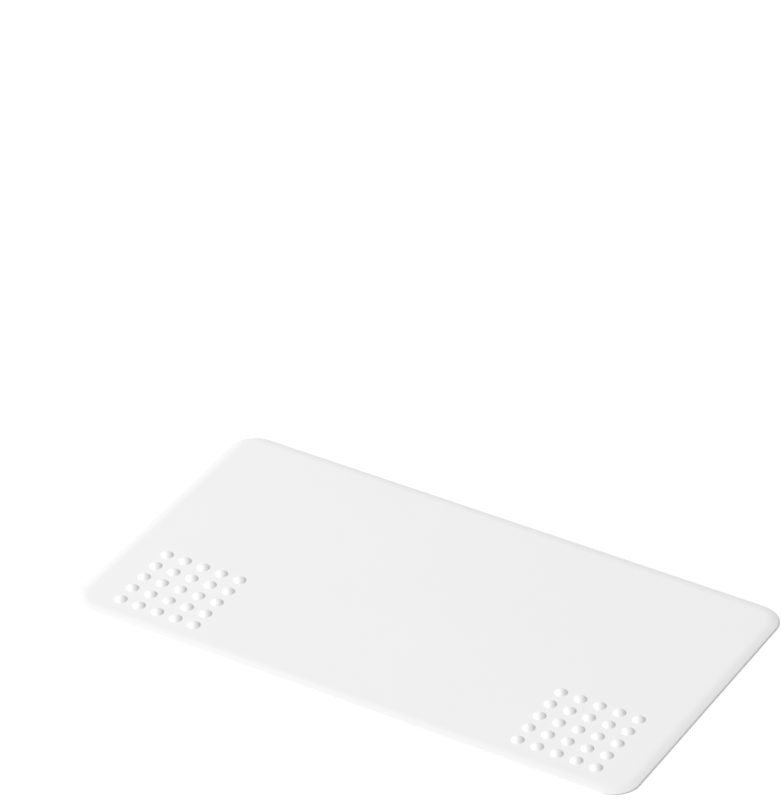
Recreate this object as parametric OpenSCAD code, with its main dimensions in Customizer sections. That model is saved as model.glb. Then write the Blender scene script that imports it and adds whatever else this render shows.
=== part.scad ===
// Drip tray that lies under a robot vacuum where it parks and charges.
// One moulded sheet: a flat floor, a bevelled rim that wheels climb easily, and a field of
// low grip domes under each drive wheel. Millimetres. The origin is on the ground under the
// middle of the footprint, +X runs along the width and +Y towards the back.

/* [Sheet] */
// Width of the footprint, side to side
tray_w = 330; // [240:2:420]
// Depth of the footprint, front to back
tray_d = 178; // [130:2:260]
// Thickness of the flat floor
floor_t = 1.6; // [1.4:0.1:3]
// Plan radius of the outer corners
corner_r = 15; // [12:1:30]

/* [Bevelled rim] */
// Run of the bevel, from the outer edge to where its line meets the flat top
bevel_run = 4.5; // [3.5:0.5:8]
// Height of the upright outer edge
edge_h = 0.8; // [0.6:0.1:1.2]
// Radius that blends the bevel into the flat top
shoulder_r = 18; // [8:1:24]
// Radius on the upper corner of the outer edge
edge_r = 0.3; // [0.2:0.05:0.5]

/* [Grip domes] */
// Diameter of a dome where it meets the floor
dome_d = 6.8; // [4:0.2:8]
// Height of a dome above the floor
dome_h = 1.4; // [0.6:0.1:2]
// Radius that blends a dome into the floor
dome_foot_r = 0.5; // [0.2:0.1:0.8]
// Spacing of the domes, both ways
dome_pitch = 11.2; // [10.4:0.1:12]
// Domes in a row, and rows in a field
domes_per_side = 5; // [3:1:5]
// Side edge of the tray to the middle of the nearer field
field_from_side = 46.8; // [38:0.2:60]
// Front edge of the tray to the middle of both fields
field_from_front = 37.8; // [37:0.2:60]

/* [Hidden] */
// Facets of a full turn, of a dome and of a circle that only a short arc is used of
$fn = 96;
dome_fn = 48;
arc_fn = 180;
// Slope of the bevel, and how far along each side of the shoulder its rounding reaches
bevel_angle = atan2(floor_t - edge_h, bevel_run);
shoulder_reach = shoulder_r * tan(bevel_angle / 2);
// Sphere that a dome is the cap of, the slope of the cap at its foot and the reach of the blend
dome_sphere_r = (pow(dome_d / 2, 2) + pow(dome_h, 2)) / (2 * dome_h);
foot_angle = asin(dome_d / 2 / dome_sphere_r);
foot_reach = dome_foot_r * tan(foot_angle / 2);
white = [0.93, 0.93, 0.925];

// Region between the tangent points and the vertex of a corner, outside the blending circle
module corner_wedge(before, vertex, after, circle_at, r) {
    difference() {
        polygon([before, vertex, after]);
        translate(circle_at) circle(r = r, $fn = arc_fn);
    }
}

// Section of the floor and rim: x runs outward from a corner's centre, y is the height
module rim_section() {
    shoulder_x = corner_r - bevel_run;
    // Rounding of the upper corner of the outer edge, between upright and bevel
    edge_reach = edge_r * tan((90 - bevel_angle) / 2);
    difference() {
        polygon([
            [0, 0], [corner_r, 0], [corner_r, edge_h],
            [shoulder_x, floor_t], [0, floor_t]
        ]);
        corner_wedge(
            [shoulder_x - shoulder_reach, floor_t],
            [shoulder_x, floor_t],
            [shoulder_x + shoulder_reach * cos(bevel_angle),
             floor_t - shoulder_reach * sin(bevel_angle)],
            [shoulder_x - shoulder_reach, floor_t - shoulder_r],
            shoulder_r
        );
        corner_wedge(
            [corner_r - edge_reach * cos(bevel_angle), edge_h + edge_reach * sin(bevel_angle)],
            [corner_r, edge_h],
            [corner_r, edge_h - edge_reach],
            [corner_r - edge_r, edge_h - edge_reach],
            edge_r
        );
    }
}

// Quarter turn of the section about a corner's centre
module rim_corner() {
    rotate_extrude(angle = 90) rim_section();
}

// Straight stretch of the section, running along +Y from the origin
module rim_straight(run) {
    translate([0, run, 0]) rotate([90, 0, 0]) linear_extrude(run) rim_section();
}

// Sheet with its rim: four corners, four straight stretches and the floor between them
module sheet() {
    inner_w = tray_w - 2 * corner_r;
    inner_d = tray_d - 2 * corner_r;
    translate([-inner_w / 2, -inner_d / 2, 0]) cube([inner_w, inner_d, floor_t]);
    for (turn = [0:3]) {
        along_x = turn % 2 == 0;
        out = (along_x ? inner_w : inner_d) / 2;
        side = (along_x ? inner_d : inner_w) / 2;
        rotate(90 * turn) {
            translate([out, -side, 0]) rim_straight(2 * side);
            translate([out, side, 0]) rim_corner();
        }
    }
}

// Half section of a dome and the blend at its foot, reaching down into the floor
module dome_section() {
    foot_r = dome_d / 2;
    blend_x = foot_r + foot_reach;
    intersection() {
        translate([0, dome_h - dome_sphere_r]) circle(r = dome_sphere_r, $fn = arc_fn);
        square([foot_r, dome_h]);
    }
    difference() {
        polygon([
            [foot_r - foot_reach * cos(foot_angle), 0],
            [foot_r - foot_reach * cos(foot_angle), foot_reach * sin(foot_angle)],
            [foot_r, 0],
            [blend_x, 0]
        ]);
        translate([blend_x, dome_foot_r]) circle(r = dome_foot_r);
    }
    translate([0, -floor_t / 2]) square([blend_x, floor_t / 2]);
}

// Square field of domes about its own middle
module dome_field() {
    first = -dome_pitch * (domes_per_side - 1) / 2;
    for (column = [0:domes_per_side - 1], row = [0:domes_per_side - 1]) {
        translate([first + column * dome_pitch, first + row * dome_pitch, floor_t])
            rotate_extrude($fn = dome_fn) dome_section();
    }
}

// The whole moulding
module tray() {
    color(white) {
        sheet();
        for (side = [-1, 1]) {
            translate([side * (tray_w / 2 - field_from_side), field_from_front - tray_d / 2, 0])
                dome_field();
        }
    }
}

tray();
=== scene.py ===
"""Looks of a robot vacuum drip tray: one moulded white sheet with a bevelled rim and grip domes.

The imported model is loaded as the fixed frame. The sheet is modelled again here on the same sizes,
with a fine mesh for its rim, its domes and their blends, and takes a satin moulded plastic. The
studio is a white table under one soft key lamp and an even sky. Lengths are metres.
"""

from __future__ import annotations

import logging
import math
from dataclasses import dataclass, field
from enum import Enum

import bmesh
import bpy
from mathutils import Matrix, Vector


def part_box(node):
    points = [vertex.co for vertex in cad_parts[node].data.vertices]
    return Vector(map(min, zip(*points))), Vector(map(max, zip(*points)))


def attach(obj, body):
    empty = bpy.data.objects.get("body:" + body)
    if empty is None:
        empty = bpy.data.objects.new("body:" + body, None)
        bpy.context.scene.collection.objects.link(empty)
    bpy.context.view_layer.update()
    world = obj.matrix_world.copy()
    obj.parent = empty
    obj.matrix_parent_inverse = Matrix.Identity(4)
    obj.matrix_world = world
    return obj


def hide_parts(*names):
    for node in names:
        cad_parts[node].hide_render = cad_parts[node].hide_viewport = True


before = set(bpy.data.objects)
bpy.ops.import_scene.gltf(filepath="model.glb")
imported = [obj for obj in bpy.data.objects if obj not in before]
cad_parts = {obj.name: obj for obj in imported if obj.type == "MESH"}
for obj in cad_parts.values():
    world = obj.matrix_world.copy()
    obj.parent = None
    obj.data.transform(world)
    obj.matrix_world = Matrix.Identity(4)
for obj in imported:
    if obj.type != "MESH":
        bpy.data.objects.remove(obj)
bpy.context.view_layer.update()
LOG = logging.getLogger("drip_tray")
MM = 0.001
WELD = 0.0005 * MM
WHITE = (1.0, 1.0, 1.0, 1.0)


class Axis(Enum):
    """Directions that the modelling steps turn about or face."""

    UP = Vector((0.0, 0.0, 1.0))


class Socket:
    """A value in a shader, with Python's own operators for its sums.

    Args:
        shader: The shader that the value's nodes are added to.
        link: The output socket that carries the value.
    """

    def __init__(self, shader: Shader, link: bpy.types.NodeSocket) -> None:
        """Keeps the shader and the output socket."""
        self.shader = shader
        self.link = link

    def _sum(self, operation: str, first: Value, second: Value) -> Socket:
        """Adds one Math node on two values and returns its result."""
        return self.shader.node("ShaderNodeMath", {"operation": operation}, {0: first, 1: second})

    def __add__(self, other: Value) -> Socket:
        """Returns self + other."""
        return self._sum("ADD", self, other)

    def __mul__(self, other: Value) -> Socket:
        """Returns self * other."""
        return self._sum("MULTIPLY", self, other)

    __radd__ = __add__
    __rmul__ = __mul__


Value = Socket | float | tuple
Owner = bpy.types.Material | bpy.types.World


class Shader:
    """The node tree of a material or a world, built one node at a time.

    Args:
        owner: The new material or world that the tree belongs to.
    """

    def __init__(self, owner: Owner) -> None:
        """Empties the owner's tree."""
        owner.use_nodes = True
        self.owner = owner
        self.tree = owner.node_tree
        self.tree.nodes.clear()

    def node(
        self, kind: str, settings: dict[str, object], values: dict[str | int, Value], out: str | int = 0
    ) -> Socket:
        """Adds a node, sets it up and wires it.

        Args:
            kind: Blender's type name of the node.
            settings: Properties of the node, such as a Math node's operation.
            values: What each input socket takes, a number, a tuple or another socket.
            out: Name or number of the output that is wanted.

        Returns:
            The wanted output.
        """
        made = self.tree.nodes.new(kind)
        for key, setting in settings.items():
            setattr(made, key, setting)
        for key, value in values.items():
            if isinstance(value, Socket):
                self.tree.links.new(value.link, made.inputs[key])
            else:
                made.inputs[key].default_value = value
        return Socket(self, made.outputs[out])

    def place(self) -> Socket:
        """Returns the point on the surface in the object's own metres."""
        return self.node("ShaderNodeTexCoord", {}, {}, "Object")

    def noise(self, point: Socket, grain: float, detail: float = 2.0) -> Socket:
        """Makes smooth noise.

        Args:
            point: Where the noise is read.
            grain: Width of a lump, in metres.
            detail: Octaves that are laid over the first.

        Returns:
            The noise, from 0 to 1.
        """
        values = {"Vector": point, "Scale": 1.0 / grain, "Detail": detail, "Roughness": 0.5}
        return self.node("ShaderNodeTexNoise", {}, values, "Fac")

    def blend(self, share: Value, first: tuple, second: tuple) -> Socket:
        """Returns a colour between two, by a share from 0 to 1."""
        sockets = {0: share, 6: first, 7: second}
        return self.node("ShaderNodeMix", {"data_type": "RGBA"}, sockets, 2)

    def bump(self, height: Socket, depth: float, under: Socket | None = None) -> Socket:
        """Roughens the surface by a height.

        Args:
            height: The height, from 0 to 1.
            depth: Metres that a height of 1 stands for.
            under: A normal that this one is laid over.

        Returns:
            The roughened normal.
        """
        values: dict[str | int, Value] = {"Height": height, "Distance": depth, "Strength": 1.0}
        if under is not None:
            values["Normal"] = under
        return self.node("ShaderNodeBump", {}, values)

    def mix(self, share: Value, first: Socket, second: Socket) -> Socket:
        """Returns a mix of two surfaces, by a share from 0 to 1."""
        return self.node("ShaderNodeMixShader", {}, {0: share, 1: first, 2: second})

    def seen(self) -> Socket:
        """Returns 1 for a ray that shows something to the camera, straight or by gloss, and 0 for light."""
        rays = ("Is Camera Ray", "Is Glossy Ray", "Is Transmission Ray")
        straight, glossy, clear = (self.node("ShaderNodeLightPath", {}, {}, name) for name in rays)
        return straight + glossy + clear

    def finish(self, surface: Socket) -> Owner:
        """Wires the surface to the output and returns the material or world."""
        is_world = isinstance(self.owner, bpy.types.World)
        kind = "ShaderNodeOutputWorld" if is_world else "ShaderNodeOutputMaterial"
        self.tree.links.new(surface.link, self.tree.nodes.new(kind).inputs["Surface"])
        return self.owner


@dataclass(frozen=True)
class MouldedWhite:
    """Satin white plastic as it leaves a lightly eroded mould."""

    pale: tuple = (0.862, 0.862, 0.862, 1.0)
    dull: tuple = (0.846, 0.846, 0.846, 1.0)
    cloud: float = 60 * MM
    spark_grain: float = 0.35 * MM
    spark_depth: float = 0.004 * MM
    sink_grain: float = 28 * MM
    sink_depth: float = 0.05 * MM
    rough: float = 0.46
    rough_swing: float = 0.08
    ior: float = 1.49

    def material(self) -> bpy.types.Material:
        """Builds the plastic.

        Returns:
            The material.
        """
        shader = Shader(bpy.data.materials.new("moulded_white"))
        point = shader.place()
        clouds = shader.noise(point, self.cloud, 3.0)
        sparks = shader.noise(point, self.spark_grain, 4.0)
        sinks = shader.noise(point, self.sink_grain, 1.0)
        wavy = shader.bump(sinks, self.sink_depth)
        grained = shader.bump(sparks, self.spark_depth, wavy)
        surface = shader.node(
            "ShaderNodeBsdfPrincipled",
            {},
            {
                "Base Color": shader.blend(clouds, self.dull, self.pale),
                "Roughness": sparks * self.rough_swing + self.rough,
                "IOR": self.ior,
                "Normal": grained,
            },
        )
        return shader.finish(surface)


@dataclass(frozen=True)
class TableWhite:
    """White table top, which the camera sees as pure white where no shadow falls."""

    paint: tuple = (0.90, 0.90, 0.90, 1.0)
    glow: float = 0.2
    rough: float = 0.9
    gloss: float = 0.1

    def material(self) -> bpy.types.Material:
        """Builds the table's paint.

        Returns:
            The material.
        """
        shader = Shader(bpy.data.materials.new("table_white"))
        paint = {"Base Color": self.paint, "Roughness": self.rough, "Specular IOR Level": self.gloss}
        lit = shader.node("ShaderNodeBsdfPrincipled", {}, paint)
        glow = shader.node("ShaderNodeEmission", {}, {"Color": WHITE, "Strength": self.glow})
        lifted = shader.node("ShaderNodeAddShader", {}, {0: lit, 1: glow})
        return shader.finish(shader.mix(shader.seen(), lit, lifted))


@dataclass
class RimSection:
    """Section of the sheet's edge, from the flat top out over the bevel and down to the ground."""

    floor_t: float
    bevel_run: float = 4.5 * MM
    edge_h: float = 0.8 * MM
    shoulder_r: float = 18 * MM
    edge_r: float = 0.3 * MM
    foot_r: float = 0.15 * MM
    flat_band: float = 0.5 * MM
    shoulder_steps: int = 8
    edge_steps: int = 5

    @property
    def slope(self) -> float:
        """Angle of the bevel below the flat top."""
        return math.atan2(self.floor_t - self.edge_h, self.bevel_run)

    @property
    def width(self) -> float:
        """Distance from the outer edge to where the rim begins."""
        return self.bevel_run + self.shoulder_r * math.tan(self.slope / 2)

    def points(self) -> list[tuple[float, float]]:
        """Works out the section.

        Returns:
            Distances in from the outer edge, with heights, from the flat top to the underside.
        """
        line = [(self.width + self.flat_band, self.floor_t)]
        for step in range(self.shoulder_steps + 1):
            turn = self.slope * step / self.shoulder_steps
            drop = self.shoulder_r * (1 - math.cos(turn))
            line.append((self.width - self.shoulder_r * math.sin(turn), self.floor_t - drop))
        edge_reach = self.edge_r * math.tan((math.pi / 2 - self.slope) / 2)
        for step in range(self.edge_steps + 1):
            turn = self.slope + (math.pi / 2 - self.slope) * step / self.edge_steps
            rise = self.edge_h - edge_reach + self.edge_r * math.cos(turn)
            line.append((self.edge_r * (1 - math.sin(turn)), rise))
        for step in range(self.edge_steps + 1):
            turn = math.pi / 2 * step / self.edge_steps
            line.append((self.foot_r * (1 - math.cos(turn)), self.foot_r * (1 - math.sin(turn))))
        line.append((self.foot_r + self.flat_band, 0.0))
        return line


@dataclass
class GripDome:
    """A low round dome that gives a drive wheel its grip, with the blend at its foot."""

    across: float = 6.8 * MM
    height: float = 1.4 * MM
    foot_r: float = 0.5 * MM
    flat_band: float = 0.25 * MM
    foot_steps: int = 4
    cap_steps: int = 8
    turns: int = 36

    def section(self) -> list[tuple[float, float]]:
        """Works out the dome's half section.

        Returns:
            Radii with heights above the floor, from the flat around the foot to the crown.
        """
        sphere_r = ((self.across / 2) ** 2 + self.height**2) / (2 * self.height)
        slope = math.asin(self.across / 2 / sphere_r)
        reach = self.foot_r * math.tan(slope / 2)
        start = self.across / 2 + reach
        line = [(start + self.flat_band, 0.0)]
        for step in range(self.foot_steps + 1):
            turn = slope * step / self.foot_steps
            line.append((start - self.foot_r * math.sin(turn), self.foot_r * (1 - math.cos(turn))))
        low = math.asin((self.across / 2 - reach * math.cos(slope)) / sphere_r)
        for step in range(1, self.cap_steps + 1):
            turn = low * (1 - step / self.cap_steps)
            rise = self.height - sphere_r * (1 - math.cos(turn))
            line.append((sphere_r * math.sin(turn), rise))
        return line

    def add(self, mesh: bmesh.types.BMesh, at: Vector) -> None:
        """Spins one dome on the floor.

        Args:
            mesh: The mesh that takes the dome.
            at: Middle of the dome's foot.
        """
        verts = [mesh.verts.new(at + Vector((r, 0.0, z))) for r, z in self.section()]
        edges = [mesh.edges.new(pair) for pair in zip(verts, verts[1:])]
        bmesh.ops.spin(
            mesh,
            geom=verts + edges,
            cent=at,
            axis=Axis.UP.value,
            angle=math.tau,
            steps=self.turns,
            use_merge=True,
        )


@dataclass
class DomeField:
    """Square field of grip domes where one drive wheel stands."""

    middle: Vector
    pitch: float = 11.2 * MM
    per_side: int = 5
    dome: GripDome = field(default_factory=GripDome)

    def add(self, mesh: bmesh.types.BMesh) -> None:
        """Sets the field's domes in rows on the floor.

        Args:
            mesh: The mesh that takes the domes.
        """
        first = -self.pitch * (self.per_side - 1) / 2
        for column in range(self.per_side):
            for row in range(self.per_side):
                step = Vector((first + column * self.pitch, first + row * self.pitch, 0.0))
                self.dome.add(mesh, self.middle + step)


@dataclass
class MouldedTray:
    """The tray: a flat sheet, its rim and its two fields of domes, as one closed skin."""

    corner_r: float = 15 * MM
    field_from_side: float = 46.8 * MM
    field_from_front: float = 37.8 * MM
    corner_steps: int = 24
    finish: MouldedWhite = field(default_factory=MouldedWhite)
    dome: GripDome = field(default_factory=GripDome)

    def __post_init__(self) -> None:
        """Takes the overall size from the CAD node."""
        self.low, self.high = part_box("tray")
        self.floor_t = self.high.z - self.dome.height
        self.rim = RimSection(self.floor_t)

    def build(self) -> bpy.types.Object:
        """Models and dresses the tray.

        Returns:
            The finished piece.
        """
        mesh = bmesh.new()
        self._rim(mesh)
        for middle in self._field_middles():
            DomeField(middle, dome=self.dome).add(mesh)
        bmesh.ops.remove_doubles(mesh, verts=mesh.verts, dist=WELD)
        open_edges = [edge for edge in mesh.edges if edge.is_boundary]
        top = [edge for edge in open_edges if edge.verts[0].co.z > self.floor_t / 2]
        under = [edge for edge in open_edges if edge.verts[0].co.z < self.floor_t / 2]
        bmesh.ops.triangle_fill(mesh, use_beauty=True, edges=top, normal=Axis.UP.value)
        bmesh.ops.triangle_fill(mesh, use_beauty=True, edges=under, normal=-Axis.UP.value)
        bmesh.ops.recalc_face_normals(mesh, faces=mesh.faces)
        for face in mesh.faces:
            face.smooth = True
        data = bpy.data.meshes.new("drip_tray_sheet")
        mesh.to_mesh(data)
        mesh.free()
        piece = bpy.data.objects.new("drip_tray_sheet", data)
        bpy.context.scene.collection.objects.link(piece)
        data.materials.append(self.finish.material())
        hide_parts("tray")
        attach(piece, "root")
        return piece

    def _field_middles(self) -> list[Vector]:
        """Returns the middles of the left and the right field, on the floor."""
        across = self.high.x - self.field_from_side
        deep = self.low.y + self.field_from_front
        return [Vector((side * across, deep, self.floor_t)) for side in (-1, 1)]

    def _rim(self, mesh: bmesh.types.BMesh) -> None:
        """Carries the rim's section round the sheet: a spin at each corner, then a straight run.

        Args:
            mesh: The mesh that takes the rim.
        """
        reach = Vector((self.high.x - self.corner_r, self.high.y - self.corner_r, 0.0))
        corners = [
            Vector((reach.x, -reach.y, 0.0)),
            Vector((reach.x, reach.y, 0.0)),
            Vector((-reach.x, reach.y, 0.0)),
            Vector((-reach.x, -reach.y, 0.0)),
        ]
        section = self.rim.points()
        start = corners[0]
        verts = [mesh.verts.new(start + Vector((0.0, x - self.corner_r, z))) for x, z in section]
        loose = [mesh.edges.new(pair) for pair in zip(verts, verts[1:])]
        for number, corner in enumerate(corners):
            turned = bmesh.ops.spin(
                mesh,
                geom=self._with_verts(loose),
                cent=corner,
                axis=Axis.UP.value,
                angle=math.pi / 2,
                steps=self.corner_steps,
            )
            loose = [part for part in turned["geom_last"] if isinstance(part, bmesh.types.BMEdge)]
            run = corners[(number + 1) % len(corners)] - corner
            moved = bmesh.ops.extrude_edge_only(mesh, edges=loose)["geom"]
            ends = [part for part in moved if isinstance(part, bmesh.types.BMVert)]
            bmesh.ops.translate(mesh, verts=ends, vec=run)
            loose = [part for part in moved if isinstance(part, bmesh.types.BMEdge)]

    @staticmethod
    def _with_verts(edges: list[bmesh.types.BMEdge]) -> list[bmesh.types.BMEdge | bmesh.types.BMVert]:
        """Returns edges with the vertices at their ends, each once."""
        ends = {vert: None for edge in edges for vert in edge.verts}
        return [*ends, *edges]


@dataclass
class StudioTable:
    """Round white table top under the tray."""

    radius: float = 3.0
    sides: int = 96
    finish: TableWhite = field(default_factory=TableWhite)

    def build(self) -> bpy.types.Object:
        """Makes the table top.

        Returns:
            The table top.
        """
        mesh = bmesh.new()
        bmesh.ops.create_circle(mesh, cap_ends=True, radius=self.radius, segments=self.sides)
        data = bpy.data.meshes.new("table_top")
        mesh.to_mesh(data)
        mesh.free()
        table = bpy.data.objects.new("table_top", data)
        bpy.context.scene.collection.objects.link(table)
        data.materials.append(self.finish.material())
        return table


@dataclass(frozen=True)
class Lamp:
    """Soft square lamp that faces the tray.

    Its place is a heading on the table, where 0 is in front of the tray and 90 to its right, an
    elevation above the table and a distance.
    """

    name: str
    heading: float
    elevation: float
    distance: float
    width: float
    power: float

    def build(self) -> bpy.types.Object:
        """Makes the lamp and aims it at the tray.

        Returns:
            The lamp.
        """
        data = bpy.data.lights.new(self.name, "AREA")
        data.shape = "SQUARE"
        data.size = self.width
        data.energy = self.power
        lamp = bpy.data.objects.new(self.name, data)
        bpy.context.scene.collection.objects.link(lamp)
        back = direction(self.heading, self.elevation)
        lamp.location = back * self.distance
        lamp.rotation_euler = back.to_track_quat("Z", "Y").to_euler()
        return lamp


@dataclass(frozen=True)
class Sky:
    """Even light from all round, which the camera sees as white."""

    strength: float = 0.4

    def build(self) -> None:
        """Makes the world."""
        shader = Shader(bpy.data.worlds.new("even_sky"))
        soft = shader.node("ShaderNodeBackground", {}, {"Color": WHITE, "Strength": self.strength})
        white = shader.node("ShaderNodeBackground", {}, {"Color": WHITE, "Strength": 1.0})
        bpy.context.scene.world = shader.finish(shader.mix(shader.seen(), soft, white))


def direction(heading: float, elevation: float) -> Vector:
    """Returns the unit vector towards a heading and an elevation.

    Args:
        heading: Degrees round the table from its front, towards the right.
        elevation: Degrees above the table.

    Returns:
        The vector, away from the tray.
    """
    turn, rise = math.radians(heading), math.radians(elevation)
    return Vector(
        (math.sin(turn) * math.cos(rise), -math.cos(turn) * math.cos(rise), math.sin(rise))
    )


@dataclass(frozen=True)
class PhotoCamera:
    """Long lens at the photograph's viewing angle."""

    heading: float = 30.708
    elevation: float = 34.526
    roll: float = -0.434
    distance: float = 2.8194
    offset_right: float = 18.35 * MM
    offset_up: float = -107.03 * MM
    lens: float = 244.86
    sensor: float = 36.0
    nearest: float = 0.1
    farthest: float = 50.0

    def build(self, ground: float) -> bpy.types.Object:
        """Makes the camera and sets it as the scene's.

        Args:
            ground: Height of the plane that the offsets are counted from.

        Returns:
            The camera.
        """
        data = bpy.data.cameras.new("photo_camera")
        data.lens = self.lens
        data.sensor_width = self.sensor
        data.clip_start = self.nearest
        data.clip_end = self.farthest
        camera = bpy.data.objects.new("photo_camera", data)
        bpy.context.scene.collection.objects.link(camera)
        back = direction(self.heading, self.elevation)
        right = Vector((math.cos(math.radians(self.heading)), math.sin(math.radians(self.heading)), 0.0))
        tilt = Matrix.Rotation(math.radians(self.roll), 3, back)
        right = tilt @ right
        up = back.cross(right)
        place = back * self.distance - right * self.offset_right - up * self.offset_up
        turn = Matrix((right, up, back)).transposed()
        camera.matrix_world = Matrix.Translation(place + Vector((0.0, 0.0, ground))) @ turn.to_4x4()
        bpy.context.scene.camera = camera
        return camera


def main() -> None:
    """Builds the camera, the tray and the studio in order."""
    logging.basicConfig(level=logging.INFO, format="%(name)s: %(message)s")
    bpy.context.scene.view_settings.view_transform = "Standard"
    tray = MouldedTray()
    PhotoCamera().build(tray.floor_t)
    piece = tray.build()
    LOG.info("%s has %d faces", piece.name, len(piece.data.polygons))
    StudioTable().build()
    key = Lamp("key_lamp", heading=-50, elevation=43, distance=8.0, width=2.0, power=570.0)
    LOG.info("%s is %.1f m away", key.build().name, key.distance)
    Sky().build()


if __name__ == "__main__":
    main()
